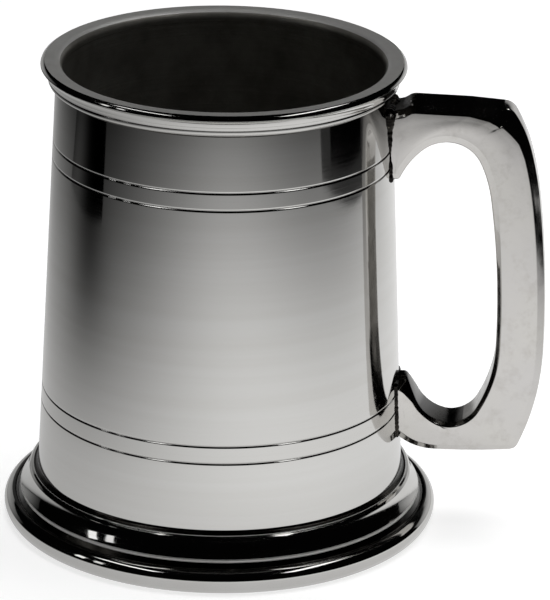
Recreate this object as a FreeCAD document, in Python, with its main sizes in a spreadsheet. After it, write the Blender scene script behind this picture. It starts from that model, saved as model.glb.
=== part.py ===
"""Pewter tankard: a tapered spun barrel on a moulded foot, with a cast loop handle.

Frame: millimetres, +Z up.  The origin is on the barrel's axis in the plane that the
foot rests on, and the handle reaches out along +X.
"""
import FreeCAD
import Part
import math
import os
import re
import Sketcher

# Driving dimensions, in millimetres.  Every name is a cell of the sheet "sizes".
SIZES = {
    # barrel: a straight cone, its outer radius given at the base plane
    "overall_height": 120.0,
    "barrel_base_radius": 46.7,
    "barrel_taper": 0.0458,
    "barrel_wall": 1.6,
    "barrel_bottom": 9.0,
    "barrel_top": 117.0,
    # four engraved lines, in two pairs
    "upper_line_height": 99.8,
    "lower_line_height": 35.5,
    "line_spacing": 4.4,
    "line_width": 0.5,
    "line_depth": 0.2,
    # lip ring round the mouth
    "lip_radius": 45.1,
    "lip_edge_round": 0.95,
    "lip_mouth_round": 2.1,
    "lip_cove_radius": 3.6,
    "lip_cove_height": 2.8,
    "lip_bead_radius": 43.3,
    "lip_bead_round": 0.75,
    "lip_bead_top": 115.9,
    "lip_skirt_bottom": 114.4,
    # foot ring: collar, cove, ridge, ledge and torus, spun hollow
    "foot_radius": 54.7,
    "foot_rest_radius": 52.7,
    "foot_widest_height": 3.45,
    "foot_under_round": 4.0,
    "foot_torus_round": 2.5,
    "foot_torus_top_radius": 51.6,
    "foot_torus_top_height": 5.87,
    "foot_ridge_radius": 50.5,
    "foot_ridge_low": 7.2,
    "foot_ridge_high": 8.05,
    "foot_cove_round": 9.5,
    "foot_cove_top_height": 12.25,
    "foot_collar_radius": 48.35,
    "foot_collar_edge": 0.2,
    "foot_step_radius": 46.95,
    "foot_step_height": 12.9,
    "foot_top": 14.1,
    "foot_wall": 1.4,
    # floor plate inside the barrel
    "floor_top": 14.0,
    "floor_thickness": 1.6,
    # handle, seen from the side: distances from the barrel's axis, heights and arc radii
    "handle_width": 12.6,
    "handle_wall": 2.0,
    "handle_root": 40.0,
    "handle_reach": 81.15,
    "handle_top": 111.7,
    "handle_bottom": 20.6,
    "outer_arris": 1.6,
    "inner_arris": 1.1,
    # handle's outside, from the top root round the back to the bottom root
    "root_top_height": 109.2,
    "root_shoulder_reach": 44.9,
    "root_shoulder_round": 3.0,
    "top_flat_reach": 46.7,
    "corner_reach": 69.35,
    "corner_height": 111.3,
    "shoulder_height": 109.7,
    "shoulder_round": 35.4,
    "upper_back_height": 100.1,
    "upper_back_round": 87.6,
    "middle_back_height": 88.2,
    "middle_back_round": 274.1,
    "lower_back_reach": 81.0,
    "lower_back_height": 48.0,
    "lower_back_round": 65.8,
    "heel_height": 22.6,
    "heel_under_reach": 73.8,
    "underside_round": 168.0,
    "bottom_reach": 54.0,
    "bottom_round": 14.0,
    "bottom_root_reach": 45.2,
    "root_bottom_height": 27.6,
    # handle's inside, from the lower cusp round the finger opening to the upper cusp
    "lower_cusp_reach": 47.0,
    "lower_cusp_height": 39.2,
    "saddle_start_height": 33.6,
    "saddle_start_round": 10.0,
    "saddle_reach": 57.7,
    "saddle_height": 28.1,
    "saddle_end_height": 32.6,
    "saddle_end_round": 36.2,
    "grip_inner_reach": 69.05,
    "grip_inner_height": 48.8,
    "grip_round": 235.6,
    "grip_top_height": 88.0,
    "grip_top_round": 32.6,
    "arch_start_height": 97.35,
    "arch_reach": 55.3,
    "arch_height": 102.4,
    "arch_end_reach": 49.7,
    "arch_end_round": 20.3,
    "upper_cusp_reach": 44.1,
    "upper_cusp_height": 92.4,
    # hollow inside the handle
    "core_corner_round": 3.0,
    "core_shoulder_round": 60.0,
    "core_back_round": 110.0,
    "core_back_drop": 28.0,
    "core_saddle_round": 14.0,
    "core_grip_round": 180.0,
    "core_arch_round": 12.0,
    "core_margin": 1.0,
    "core_low_back_height": 42.8,
    "cutter_margin": 5.0,
    "opening_margin": 3.0,
    "skin_margin": 3.0,
    "lower_seam_drop": 4.0,
    "root_shoulder_height": 110.5,
    "corner_round": 3.8,
    "shoulder_reach": 72.65,
    "upper_back_reach": 76.65,
    "middle_back_reach": 78.95,
    "heel_reach": 75.05,
    "heel_round": 1.6,
    "heel_under_height": 21.7,
    "bottom_root_height": 23.75,
    "saddle_start_reach": 49.5,
    "saddle_round": 7.8,
    "saddle_end_reach": 64.95,
    "grip_top_reach": 66.35,
    "arch_start_reach": 63.4,
    "arch_start_round": 9.0,
    "arch_round": 8.4,
    "arch_end_height": 100.3,
    # solder
    "solder_leg": 0.7,
    "solder_thickness": 0.8,
    "solder_margin": 1.0,
    "solder_overlap": 1.1,
}

doc = FreeCAD.newDocument("tankard")
sheet = doc.addObject("Spreadsheet::Sheet", "sizes")
for row, (alias, value) in enumerate(SIZES.items(), start=1):
    sheet.set("A%d" % row, alias)
    sheet.set("B%d" % row, str(value))
    sheet.setAlias("B%d" % row, alias)
doc.recompute()


# ---------------------------------------------------------------- sketch helpers

def bound(formula):
    """A formula in the sheet's names, written so that any object can read it."""
    return re.sub(r"[a-z_]+", lambda word: "sizes." + word.group() if word.group() in SIZES
                  else word.group(), formula)


def number(formula):
    """The present value of a formula."""
    return float(sheet.evalExpression(bound(formula)))


def barrel_radius(height):
    """Formula for the barrel's outer radius at a height, itself a formula."""
    return "barrel_base_radius - barrel_taper * (%s)" % height


def new_body(name):
    body = doc.addObject("PartDesign::Body", name)
    body.Label = name
    return body


def new_sketch(body, name, plane="XZ_Plane"):
    sketch = body.newObject("Sketcher::SketchObject", name)
    origin_plane = [part for part in body.Origin.OriginFeatures if part.Role == plane][0]
    sketch.AttachmentSupport = (origin_plane, "")
    sketch.MapMode = "FlatFace"
    return sketch


def arc_through(start, end, radius, turn):
    """The shorter arc from start to end that turns left or right along the way."""
    chord = end - start
    reach = math.sqrt(max(radius ** 2 - (chord.Length / 2) ** 2, 0.0))
    left = FreeCAD.Vector(-chord.y, chord.x, 0) / chord.Length
    centre = (start + end) / 2 + left * (reach if turn == "left" else -reach)
    first, last = (start, end) if turn == "left" else (end, start)
    angles = [math.atan2(point.y - centre.y, point.x - centre.x) for point in (first, last)]
    circle = Part.Circle(centre, FreeCAD.Vector(0, 0, 1), radius)
    return Part.ArcOfCircle(circle, angles[0], angles[1])


def draw_outline(sketch, corners):
    """Add one closed outline to a sketch.

    Each corner is (name, across, up), then optionally (radius, turn), then "smooth".
    The edge that leaves a corner is straight, or an arc of that radius turning that way.
    A smooth corner joins its two edges in one tangent.  A value that starts with ~ is
    free: the tangents settle it, starting from there.
    """
    start_values = [[number(value.lstrip("~")) for value in corner[1:3]] for corner in corners]
    points = [FreeCAD.Vector(across, up, 0) for across, up in start_values]
    ends = []
    for index, corner in enumerate(corners):
        start = points[index]
        end = points[(index + 1) % len(points)]
        if len(corner) < 5:
            edge = sketch.addGeometry(Part.LineSegment(start, end), False)
            ends.append((edge, 1, 2))
            continue
        radius, turn = number(corner[3].lstrip("~")), corner[4]
        edge = sketch.addGeometry(arc_through(start, end, radius, turn), False)
        ends.append((edge, 1, 2) if turn == "left" else (edge, 2, 1))
    for index, corner in enumerate(corners):
        edge, start, _ = ends[index]
        before, _, before_end = ends[index - 1]
        joint = "Tangent" if corner[-1] == "smooth" else "Coincident"
        sketch.addConstraint(Sketcher.Constraint(joint, before, before_end, edge, start))
        for kind, label, formula, axis in (("DistanceX", "across", corner[1], -2),
                                           ("DistanceY", "up", corner[2], -1)):
            if formula == "0":
                sketch.addConstraint(Sketcher.Constraint("PointOnObject", edge, start, axis))
            elif not formula.startswith("~"):
                constraint = Sketcher.Constraint(kind, -1, 1, edge, start, number(formula))
                bind_constraint(sketch, constraint, corner[0] + "_" + label, formula)
        if len(corner) >= 5 and not corner[3].startswith("~"):
            constraint = Sketcher.Constraint("Radius", edge, number(corner[3]))
            bind_constraint(sketch, constraint, corner[0] + "_round", corner[3])


def bind_constraint(sketch, constraint, name, formula):
    index = sketch.addConstraint(constraint)
    sketch.renameConstraint(index, name)
    sketch.setExpression("Constraints." + name, bound(formula))


# ------------------------------------------------------------- feature helpers

def revolve(body, sketch, kind="Revolution"):
    """Turn a sketch on the XZ plane about the vertical axis, adding or cutting."""
    feature = body.newObject("PartDesign::" + kind, body.Name + "_" + kind.lower())
    feature.Profile = sketch
    feature.ReferenceAxis = (sketch, ["V_Axis"])
    feature.Angle = 360.0
    doc.recompute()
    return feature


def symmetric(body, sketch, kind, name, length):
    """Pad or pocket a sketch by a length formula, half to each side of its plane."""
    feature = body.newObject("PartDesign::" + kind, name)
    feature.Profile = sketch
    feature.SideType = "Symmetric"
    feature.setExpression("Length", bound(length))
    doc.recompute()
    return feature


def turned_ring(name, corners):
    """A sub-part that is one outline turned about the vertical axis."""
    body = new_body(name)
    sketch = new_sketch(body, name + "_section")
    draw_outline(sketch, corners)
    revolve(body, sketch)
    return body


def check_cut(feature, volume_before):
    if feature.Shape.Volume >= volume_before - 1.0:
        raise RuntimeError(feature.Label + " removed nothing")


# -------------------------------------------------------------------- sub-parts

def make_barrel():
    """Tapered wall, open at both ends, with two pairs of engraved lines round it."""
    barrel = turned_ring("barrel", [
        ("outer_bottom", barrel_radius("barrel_bottom"), "barrel_bottom"),
        ("outer_top", barrel_radius("barrel_top"), "barrel_top"),
        ("inner_top", barrel_radius("barrel_top") + " - barrel_wall", "barrel_top"),
        ("inner_bottom", barrel_radius("barrel_bottom") + " - barrel_wall", "barrel_bottom"),
    ])
    plain_volume = barrel.Shape.Volume
    sketch = new_sketch(barrel, "engraved_lines")
    heights = {
        "line_a": "upper_line_height",
        "line_b": "upper_line_height - line_spacing",
        "line_c": "lower_line_height",
        "line_d": "lower_line_height - line_spacing",
    }
    for name, height in heights.items():
        face = barrel_radius(height)
        draw_outline(sketch, [
            (name + "_root", face + " - line_depth", height),
            (name + "_lower", face + " + line_depth", height + " - line_width"),
            (name + "_upper", face + " + line_depth", height + " + line_width"),
        ])
    groove = revolve(barrel, sketch, "Groove")
    check_cut(groove, plain_volume)
    return barrel


def make_lip_ring():
    """Moulded ring that caps the barrel's top edge and laps down its outside."""
    return turned_ring("lip_ring", [
        ("skirt", barrel_radius("lip_skirt_bottom"), "lip_skirt_bottom"),
        ("bead_under", "lip_bead_radius - lip_bead_round", "lip_skirt_bottom",
         "lip_bead_round", "left"),
        ("bead_edge", "lip_bead_radius", "lip_skirt_bottom + lip_bead_round"),
        ("cove_foot", "lip_bead_radius", "lip_bead_top", "lip_cove_radius", "right"),
        ("cove_head", "lip_radius", "lip_bead_top + lip_cove_height"),
        ("edge_low", "lip_radius", "overall_height - lip_edge_round", "lip_edge_round", "left"),
        ("edge_high", "lip_radius - lip_edge_round", "overall_height"),
        ("mouth_high", barrel_radius("barrel_top") + " - barrel_wall + lip_mouth_round",
         "overall_height", "lip_mouth_round", "left"),
        ("mouth_low", barrel_radius("barrel_top") + " - barrel_wall",
         "overall_height - lip_mouth_round"),
        ("seat_inner", barrel_radius("barrel_top") + " - barrel_wall", "barrel_top"),
        ("seat_outer", barrel_radius("barrel_top"), "barrel_top"),
    ])


def make_foot_ring():
    """Hollow spun foot: collar, cove, ridge and torus outside, open underneath."""
    return turned_ring("foot_ring", [
        ("rest_inner", "foot_rest_radius - foot_wall", "0"),
        ("rest_outer", "foot_rest_radius", "0", "foot_under_round", "left"),
        ("torus_widest", "foot_radius", "foot_widest_height", "foot_torus_round", "left"),
        ("torus_top", "foot_torus_top_radius", "foot_torus_top_height"),
        ("ridge_low", "foot_ridge_radius", "foot_ridge_low"),
        ("ridge_high", "foot_ridge_radius", "foot_ridge_high", "foot_cove_round", "right"),
        ("collar_low", "foot_collar_radius", "foot_cove_top_height"),
        ("collar_high", "foot_collar_radius", "foot_cove_top_height + foot_collar_edge"),
        ("step", "foot_step_radius", "foot_step_height"),
        ("joint_top", barrel_radius("foot_top"), "foot_top"),
        ("joint_low", barrel_radius("foot_top - foot_wall"), "foot_top - foot_wall"),
        ("inside_collar", "foot_step_radius", "foot_cove_top_height - foot_wall / 2",
         "foot_cove_round + foot_wall", "left"),
        ("inside_ridge", "foot_ridge_radius - foot_wall", "foot_ridge_low"),
        ("inside_step", "foot_ridge_radius - foot_wall", "foot_ridge_low - foot_wall / 2"),
        ("inside_ledge", "foot_torus_top_radius - foot_wall / 3", "foot_torus_top_height - foot_wall"),
        ("inside_torus", "foot_radius - foot_wall", "foot_widest_height"),
    ])


def make_floor_disc():
    """Plate that closes the barrel, set inside its lower end."""
    body = new_body("floor_disc")
    sketch = new_sketch(body, "floor_outline", "XY_Plane")
    formula = barrel_radius("floor_top") + " - barrel_wall"
    circle = Part.Circle(FreeCAD.Vector(0, 0, 0), FreeCAD.Vector(0, 0, 1), number(formula))
    edge = sketch.addGeometry(circle, False)
    sketch.addConstraint(Sketcher.Constraint("Coincident", edge, 3, -1, 1))
    bind_constraint(sketch, Sketcher.Constraint("Radius", edge, number(formula)),
                    "disc_radius", formula)
    sketch.setExpression("AttachmentOffset.Base.z", bound("floor_top - floor_thickness"))
    pad = body.newObject("PartDesign::Pad", "floor_pad")
    pad.Profile = sketch
    pad.setExpression("Length", bound("floor_thickness"))
    doc.recompute()
    return body


def handle_outline():
    """Side view of the handle: the outside from root to root, then the finger opening."""
    return [
        ("top_root_end", "handle_root", "root_top_height"),
        ("top_root", "root_shoulder_reach", "~root_shoulder_height",
         "root_shoulder_round", "right"),
        ("top_flat", "top_flat_reach", "handle_top", "smooth"),
        ("top_corner", "corner_reach", "corner_height", "~corner_round", "right", "smooth"),
        ("shoulder", "~shoulder_reach", "shoulder_height", "shoulder_round",
         "right", "smooth"),
        ("upper_back", "~upper_back_reach", "upper_back_height", "upper_back_round",
         "right", "smooth"),
        ("middle_back", "~middle_back_reach", "middle_back_height", "middle_back_round",
         "right", "smooth"),
        ("lower_back", "lower_back_reach", "lower_back_height", "lower_back_round",
         "right", "smooth"),
        ("heel", "~heel_reach", "heel_height", "~heel_round", "right", "smooth"),
        ("heel_under", "heel_under_reach", "~heel_under_height", "underside_round",
         "right", "smooth"),
        ("bottom_flat", "bottom_reach", "handle_bottom", "bottom_round", "right", "smooth"),
        ("bottom_root", "bottom_root_reach", "~bottom_root_height"),
        ("bottom_root_end", "handle_root", "root_bottom_height"),
        ("lower_cusp_root", "handle_root", "lower_cusp_height"),
        ("lower_cusp", "lower_cusp_reach", "lower_cusp_height"),
        ("saddle_start", "~saddle_start_reach", "saddle_start_height",
         "saddle_start_round", "left", "smooth"),
        ("saddle_low", "saddle_reach", "saddle_height", "~saddle_round", "left", "smooth"),
        ("saddle_end", "~saddle_end_reach", "saddle_end_height",
         "saddle_end_round", "left", "smooth"),
        ("grip_low", "grip_inner_reach", "grip_inner_height", "grip_round", "left", "smooth"),
        ("grip_high", "~grip_top_reach", "grip_top_height",
         "grip_top_round", "left", "smooth"),
        ("arch_start", "~arch_start_reach", "arch_start_height",
         "~arch_start_round", "left", "smooth"),
        ("arch_top", "arch_reach", "arch_height", "~arch_round", "left", "smooth"),
        ("arch_end", "arch_end_reach", "~arch_end_height", "arch_end_round",
         "left", "smooth"),
        ("upper_cusp", "upper_cusp_reach", "upper_cusp_height"),
        ("upper_cusp_root", "handle_root", "upper_cusp_height"),
    ]


def core_outline():
    """Side view of the hollow that runs through the handle from root to root."""
    return [
        ("core_top_root", "handle_root", "root_top_height - handle_wall"),
        ("core_top_start", "top_flat_reach", "handle_top - handle_wall - core_margin / 2"),
        ("core_top", "corner_reach - core_margin", "corner_height - handle_wall",
         "core_corner_round", "right"),
        ("core_shoulder", "corner_reach + core_margin", "shoulder_height - handle_wall",
         "core_shoulder_round", "right"),
        ("core_back", "handle_reach - handle_wall - core_margin", "handle_top - core_back_drop",
         "core_back_round", "right"),
        ("core_low_back", "handle_reach - handle_wall - core_margin", "core_low_back_height",
         "core_shoulder_round", "right"),
        ("core_heel", "heel_under_reach - handle_wall", "heel_height + handle_wall"),
        ("core_bottom", "bottom_reach + core_margin", "handle_bottom + handle_wall"),
        ("core_bottom_root", "handle_root", "root_bottom_height"),
        ("core_lower_mouth", "handle_root", "saddle_start_height + core_margin"),
        ("core_saddle_root", "lower_cusp_reach - core_margin", "saddle_start_height - core_margin"),
        ("core_saddle", "saddle_reach", "saddle_height - handle_wall",
         "core_saddle_round", "left"),
        ("core_saddle_end", "grip_inner_reach", "saddle_end_height + core_margin",
         "core_shoulder_round", "left"),
        ("core_grip_low", "grip_inner_reach + handle_wall", "grip_inner_height",
         "core_grip_round", "left"),
        ("core_grip_high", "grip_inner_reach - core_margin", "grip_top_height - core_margin",
         "core_shoulder_round", "left"),
        ("core_arch_start", "grip_inner_reach - handle_wall - 2 * core_margin",
         "arch_height - handle_wall - core_margin", "core_arch_round", "left"),
        ("core_arch", "arch_reach", "arch_height + handle_wall"),
        ("core_arch_root", "handle_root", "arch_height"),
    ]


def side_edges(shape, width, wanted):
    """Names of the edges on both flat sides whose middles pass the test."""
    found = []
    for index, edge in enumerate(shape.Edges, start=1):
        middle = edge.valueAt((edge.FirstParameter + edge.LastParameter) / 2)
        on_side = all(abs(abs(corner.Y) - width / 2) < 1e-6 for corner in edge.Vertexes)
        if on_side and wanted(middle):
            found.append("Edge%d" % index)
    return found


def make_handle():
    """Cast loop: padded outline, arrises taken off, hollowed, its roots fitted to the cone."""
    body = new_body("handle")
    outline = new_sketch(body, "handle_side_view")
    draw_outline(outline, handle_outline())
    blank = symmetric(body, outline, "Pad", "handle_blank", "handle_width")

    middle_x = number("arch_reach")
    middle_z = number("(arch_height + saddle_height) / 2")
    half_reach = number("grip_inner_reach - arch_reach + opening_margin")
    half_height = number("(arch_height - saddle_height) / 2 + opening_margin")

    def clear_of_barrel(point):
        return point.x > number(barrel_radius(str(point.z)))

    def in_opening(point):
        across = abs(point.x - middle_x) / half_reach
        up = abs(point.z - middle_z) / half_height
        return across < 1.0 and up < 1.0 and clear_of_barrel(point)

    def outside(point):
        return not in_opening(point) and clear_of_barrel(point)

    for name, where, size in (("outer_arrises", outside, "outer_arris"),
                              ("inner_arrises", in_opening, "inner_arris")):
        base = body.Tip
        chamfer = body.newObject("PartDesign::Chamfer", name)
        chamfer.Base = (base, side_edges(base.Shape, blank.Length.Value, where))
        chamfer.setExpression("Size", bound(size))
        doc.recompute()
        check_cut(chamfer, base.Shape.Volume)

    volume = body.Shape.Volume
    core = new_sketch(body, "handle_core")
    draw_outline(core, core_outline())
    hollow = symmetric(body, core, "Pocket", "handle_hollow", "handle_width - 2 * handle_wall")
    check_cut(hollow, volume)

    volume = body.Shape.Volume
    cone = new_sketch(body, "barrel_clearance")
    draw_outline(cone, [
        ("cone_inner_low", "handle_root - 2 * cutter_margin", "handle_bottom - cutter_margin"),
        ("cone_outer_low", barrel_radius("handle_bottom - cutter_margin"),
         "handle_bottom - cutter_margin"),
        ("cone_outer_high", barrel_radius("handle_top + cutter_margin"),
         "handle_top + cutter_margin"),
        ("cone_inner_high", "handle_root - 2 * cutter_margin", "handle_top + cutter_margin"),
    ])
    check_cut(revolve(body, cone, "Groove"), volume)
    return body


def make_handle_solder(name, handle, low, high):
    """Seam round one end of the handle: a thin skin on the barrel, outside the casting."""
    skin_low = low + " - skin_margin"
    skin_high = high + " + skin_margin"
    skin = turned_ring(name + "_skin", [
        ("skin_inner_low", barrel_radius(skin_low), skin_low),
        ("skin_outer_low", barrel_radius(skin_low) + " + solder_thickness", skin_low),
        ("skin_outer_high", barrel_radius(skin_high) + " + solder_thickness", skin_high),
        ("skin_inner_high", barrel_radius(skin_high), skin_high),
    ])
    frame = new_body(name + "_frame")
    sketch = new_sketch(frame, name + "_outline", "YZ_Plane")
    for side, margin in (("outer", "solder_margin"), ("inner", "-solder_overlap")):
        half = "(handle_width / 2 + %s)" % margin
        draw_outline(sketch, [
            (side + "_left_low", "-" + half, "%s - (%s)" % (low, margin)),
            (side + "_right_low", half, "%s - (%s)" % (low, margin)),
            (side + "_right_high", half, "%s + %s" % (high, margin)),
            (side + "_left_high", "-" + half, "%s + %s" % (high, margin)),
        ])
    pad = frame.newObject("PartDesign::Pad", name + "_pad")
    pad.Profile = sketch
    pad.setExpression("Length", bound("barrel_base_radius + cutter_margin"))
    doc.recompute()
    if pad.Shape.BoundBox.XMax < 1.0:
        pad.Reversed = True
        doc.recompute()
    band = doc.addObject("Part::Common", name + "_band")
    band.Base = skin
    band.Tool = frame
    seam = doc.addObject("Part::Cut", name)
    seam.Base = band
    seam.Tool = handle
    seam.Label = name
    return seam


def make_lip_solder():
    """Fillet of solder in the corner under the lip ring's skirt."""
    return turned_ring("lip_solder", [
        ("corner", barrel_radius("lip_skirt_bottom"), "lip_skirt_bottom"),
        ("wall", barrel_radius("lip_skirt_bottom - solder_leg"), "lip_skirt_bottom - solder_leg"),
        ("skirt", barrel_radius("lip_skirt_bottom") + " + solder_leg", "lip_skirt_bottom"),
    ])


def make_foot_solder():
    """Solder run into the narrow corner between the barrel and the hollow foot."""
    low = "foot_cove_top_height - foot_wall / 2"
    return turned_ring("foot_solder", [
        ("corner", barrel_radius("foot_top - foot_wall"), "foot_top - foot_wall"),
        ("wall", barrel_radius(low), low),
        ("shell", "foot_step_radius", low),
    ])


def make_floor_solder():
    """Fillet of solder under the floor plate, inside the barrel."""
    height = "(floor_top - floor_thickness)"
    return turned_ring("floor_solder", [
        ("corner", barrel_radius(height) + " - barrel_wall", height),
        ("plate", barrel_radius(height) + " - barrel_wall - solder_leg", height),
        ("wall", barrel_radius(height + " - solder_leg") + " - barrel_wall",
         height + " - solder_leg"),
    ])


handle = make_handle()
parts = [
    make_barrel(),
    make_lip_ring(),
    make_foot_ring(),
    make_floor_disc(),
    handle,
    make_handle_solder("upper_handle_solder", handle, "upper_cusp_height",
                       "(root_top_height + solder_margin)"),
    make_handle_solder("lower_handle_solder", handle, "(root_bottom_height - lower_seam_drop)",
                       "lower_cusp_height"),
    make_lip_solder(),
    make_foot_solder(),
    make_floor_solder(),
]
doc.recompute()

for item in doc.Objects:
    if "Invalid" in item.State or "Error" in item.State:
        raise RuntimeError("%s failed: %s" % (item.Label, item.State))
os.makedirs("parts", exist_ok=True)
for part in parts:
    shape = part.Shape
    if shape.isNull() or not shape.isValid():
        raise RuntimeError(part.Label + " has no valid shape")
    shape.exportStep(os.path.join("parts", part.Label + ".step"))
    box = shape.BoundBox
    print("%-22s solids %d  volume %9.1f mm3  x %.2f..%.2f  y %.2f..%.2f  z %.2f..%.2f" % (
        part.Label, len(shape.Solids), shape.Volume,
        box.XMin, box.XMax, box.YMin, box.YMax, box.ZMin, box.ZMax))
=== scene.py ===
"""Pewter tankard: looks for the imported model.

Outlines are in millimetres, and MM scales them on the way into a mesh; the materials and the
studio are in metres. The frame is the model's own: the barrel's axis is Z, the foot rests on
Z = 0, and the handle reaches out along +X.
"""
import bpy
import math
from mathutils import Matrix, Vector, noise


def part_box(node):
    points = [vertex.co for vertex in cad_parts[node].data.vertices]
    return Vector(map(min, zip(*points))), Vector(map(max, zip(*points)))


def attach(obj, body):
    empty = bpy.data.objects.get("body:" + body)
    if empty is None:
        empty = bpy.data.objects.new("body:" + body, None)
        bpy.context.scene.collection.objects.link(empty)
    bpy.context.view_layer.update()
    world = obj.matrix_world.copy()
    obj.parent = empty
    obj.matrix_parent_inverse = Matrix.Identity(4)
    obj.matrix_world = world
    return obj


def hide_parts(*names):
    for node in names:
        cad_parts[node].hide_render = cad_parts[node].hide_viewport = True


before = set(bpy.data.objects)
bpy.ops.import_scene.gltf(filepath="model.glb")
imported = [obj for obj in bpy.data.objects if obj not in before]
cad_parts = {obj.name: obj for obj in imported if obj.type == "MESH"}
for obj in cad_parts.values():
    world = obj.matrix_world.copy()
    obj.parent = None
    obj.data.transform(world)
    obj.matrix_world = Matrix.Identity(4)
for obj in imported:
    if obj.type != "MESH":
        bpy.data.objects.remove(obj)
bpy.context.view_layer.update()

# ------------------------------------------------------------------ sizes, millimetres

MM = 0.001
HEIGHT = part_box("lip_ring")[1].z / MM
LIP_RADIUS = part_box("lip_ring")[1].y / MM
FOOT_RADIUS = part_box("foot_ring")[1].y / MM
FLOOR_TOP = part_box("floor_disc")[1].z / MM
FLOOR_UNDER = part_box("floor_disc")[0].z / MM
BARREL_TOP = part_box("barrel")[1].z / MM
BARREL_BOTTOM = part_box("barrel")[0].z / MM
BARREL_TAPER = 0.0458
BARREL_BASE_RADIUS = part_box("barrel")[1].y / MM + BARREL_TAPER * BARREL_BOTTOM
BARREL_WALL = 1.6


def barrel_radius(height):
    """Outer radius of the barrel's cone."""
    return BARREL_BASE_RADIUS - BARREL_TAPER * height


def on_barrel(height, inwards=0.0):
    """The outline point (radius, height) on the barrel's cone, or some way inside it."""
    return barrel_radius(height) - inwards, height


BARREL_INNER_TOP = barrel_radius(BARREL_TOP) - BARREL_WALL

# ------------------------------------------------------------------ outlines

TINY = 1e-6
CORNER_SHARE = 0.45


def arc(start, end, radius, turn, steps):
    """Points after start up to end on the shorter arc, turning left or right."""
    (x0, y0), (x1, y1) = start, end
    chord = math.hypot(x1 - x0, y1 - y0)
    reach = math.sqrt(max(radius ** 2 - (chord / 2) ** 2, 0.0))
    side = 1 if turn == "left" else -1
    cx = (x0 + x1) / 2 - side * (y1 - y0) / chord * reach
    cy = (y0 + y1) / 2 + side * (x1 - x0) / chord * reach
    first = math.atan2(y0 - cy, x0 - cx)
    sweep = (math.atan2(y1 - cy, x1 - cx) - first) % math.tau
    if side < 0:
        sweep -= math.tau
    return [(cx + radius * math.cos(first + sweep * i / steps),
             cy + radius * math.sin(first + sweep * i / steps)) for i in range(1, steps + 1)]


def trace(corners, steps=12, closed=True):
    """Follow corners (x, y) or (x, y, radius, turn); a radius bends the edge that leaves its corner."""
    points = [corners[0][:2]]
    count = len(corners) if closed else len(corners) - 1
    for index in range(count):
        start = corners[index][:2]
        bend = corners[index][2:]
        end = corners[(index + 1) % len(corners)][:2]
        points += arc(start, end, *bend, steps) if bend else [end]
    if closed:
        points.pop()
    return points


def soften(points, radius, closed=True, steps=3, least=20):
    """Round every corner that turns by least degrees or more, with an arc of about this radius."""
    softened = []
    count = len(points)
    for index, point in enumerate(points):
        if not closed and index in (0, count - 1):
            softened.append(point)
            continue
        here = Vector(point)
        back = Vector(points[index - 1]) - here
        ahead = Vector(points[(index + 1) % count]) - here
        if back.length < TINY or ahead.length < TINY:
            continue
        turn = math.pi - back.angle(ahead)
        if turn < math.radians(least):
            softened.append(point)
            continue
        cut = min(radius * math.tan(turn / 2), back.length * CORNER_SHARE, ahead.length * CORNER_SHARE)
        start = here + back.normalized() * cut
        end = here + ahead.normalized() * cut
        for step in range(steps + 1):
            part = step / steps
            low = start.lerp(here, part)
            high = here.lerp(end, part)
            softened.append(tuple(low.lerp(high, part)))
    return softened


def add_supports(points, gap=0.12, long_edge=0.9):
    """Put a point a little way in from each end of every long edge of a closed outline."""
    supported = []
    for point, following in zip(points, points[1:] + points[:1]):
        start = Vector(point)
        end = Vector(following)
        supported.append(tuple(start))
        length = (end - start).length
        if length > long_edge:
            supported.append(tuple(start.lerp(end, gap / length)))
            supported.append(tuple(end.lerp(start, gap / length)))
    return supported


# ------------------------------------------------------------------ meshes

ROUND_STEPS = 384
SHARP_ANGLE = math.radians(50)


def new_object(name, vertices, faces, material, node):
    """A smooth mesh piece that stands for a CAD node and rides on the body."""
    mesh = bpy.data.meshes.new(name)
    mesh.from_pydata([Vector(v) * MM for v in vertices], [], faces)
    mesh.validate()
    mesh.shade_smooth()
    mesh.set_sharp_from_angle(angle=SHARP_ANGLE)
    mesh.materials.append(material)
    piece = bpy.data.objects.new(name, mesh)
    bpy.context.scene.collection.objects.link(piece)
    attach(piece, "root")
    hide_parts(node)
    return piece


def ring_faces(rings, size, closed, flipped=False):
    """Faces between neighbouring rings of points; a closed row joins its last ring to its first."""
    faces = []
    for ring in range(rings if closed else rings - 1):
        here = ring * size
        there = (ring + 1) % rings * size
        for index in range(size):
            after = (index + 1) % size
            face = (here + index, here + after, there + after, there + index)
            faces.append((face[0], *face[:0:-1]) if flipped else face)
    return faces


def turned(name, outline, material, node):
    """Turn a closed outline of (radius, height) about the Z axis."""
    area = sum(a[0] * b[1] - b[0] * a[1] for a, b in zip(outline, outline[1:] + outline[:1]))
    if area < 0:
        outline = outline[::-1]
    vertices = []
    for step in range(ROUND_STEPS):
        angle = math.tau * step / ROUND_STEPS
        for radius, height in outline:
            vertices.append((radius * math.cos(angle), radius * math.sin(angle), height))
    faces = ring_faces(ROUND_STEPS, len(outline), closed=True, flipped=True)
    return new_object(name, vertices, faces, material, node)


def paint(piece, material, wanted):
    """Give another material to the faces whose centre, in millimetres, and normal pass a test."""
    piece.data.materials.append(material)
    last = len(piece.data.materials) - 1
    for face in piece.data.polygons:
        if wanted(face.center / MM, face.normal):
            face.material_index = last


# ------------------------------------------------------------------ materials

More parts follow.
